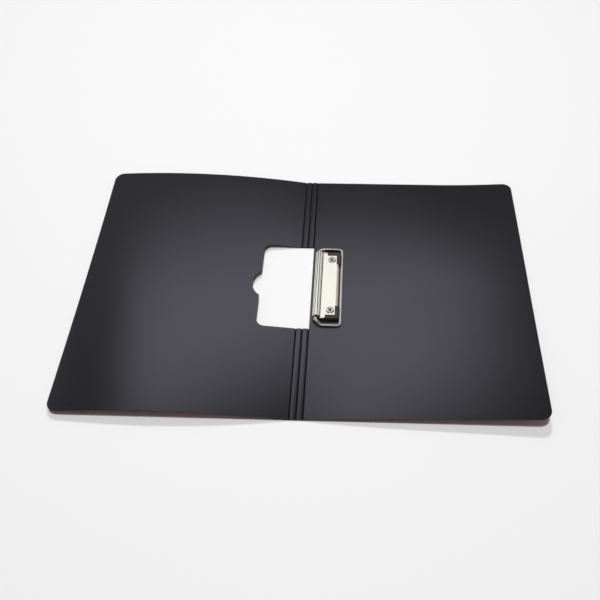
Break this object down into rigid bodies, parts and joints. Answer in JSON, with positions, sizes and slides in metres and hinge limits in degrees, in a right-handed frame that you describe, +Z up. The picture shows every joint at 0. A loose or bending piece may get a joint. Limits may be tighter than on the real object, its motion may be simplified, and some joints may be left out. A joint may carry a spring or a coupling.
{
  "type": "clip folder",
  "caption": "Open A4 clip folder of black plastic sheet with a creased spine, a window in the front cover and a low-profile wire clip on the back cover",
  "frame": {"origin": "on the table under the middle of the spine", "axes": "X across the covers to the back cover's side, Y along the spine, Z up"},
  "size_m": [0.4568, 0.31, 0.01],
  "materials": {
    "sheet": "fine matt grain, black inside and wine red outside",
    "nickel": "polished nickel plate",
    "spring_steel": "drawn spring wire",
    "rubber": "matt moulded rubber"
  },
  "bodies": {
    "back": {"back_cover": "sheet", "clip_base": "nickel", "base_rivet_far": "nickel", "base_rivet_near": "nickel", "torsion_spring": "spring_steel"},
    "spine_back": {"spine_back_far": "sheet", "spine_back_near": "sheet"},
    "spine_front": {"spine_front_far": "sheet", "spine_front_near": "sheet"},
    "front": {"front_cover": "sheet"},
    "jaw": {"clip_jaw": "nickel", "grip_far": "rubber", "grip_near": "rubber", "grip_rivet_far": "nickel", "grip_rivet_near": "nickel"},
    "bail": {"wire_bail": "nickel"}
  },
  "joints": [
    {"name": "back_crease", "type": "hinge", "parent": "back", "child": "spine_back", "pos_m": [0.0064, 0, 0], "axis": [0, 1, 0], "range_deg": [-80, 80]},
    {"name": "middle_crease", "type": "hinge", "parent": "spine_back", "child": "spine_front", "pos_m": [0, 0, 0], "axis": [0, 1, 0], "range_deg": [-20, 20]},
    {"name": "front_crease", "type": "hinge", "parent": "spine_front", "child": "front", "pos_m": [-0.0064, 0, 0], "axis": [0, 1, 0], "range_deg": [-80, 80]},
    {"name": "bail_lift", "type": "hinge", "parent": "back", "child": "bail", "pos_m": [0.0132, 0, 0.0058], "axis": [0, -1, 0], "range_deg": [0, 100]},
    {"name": "jaw_open", "type": "hinge", "parent": "back", "child": "jaw", "pos_m": [0.0132, 0, 0.0058], "axis": [0, -1, 0], "range_deg": [0, 12]}
  ],
  "couplings": [
    {"joint": "jaw_open", "follows": "bail_lift", "ratio": 0.12}
  ]
}
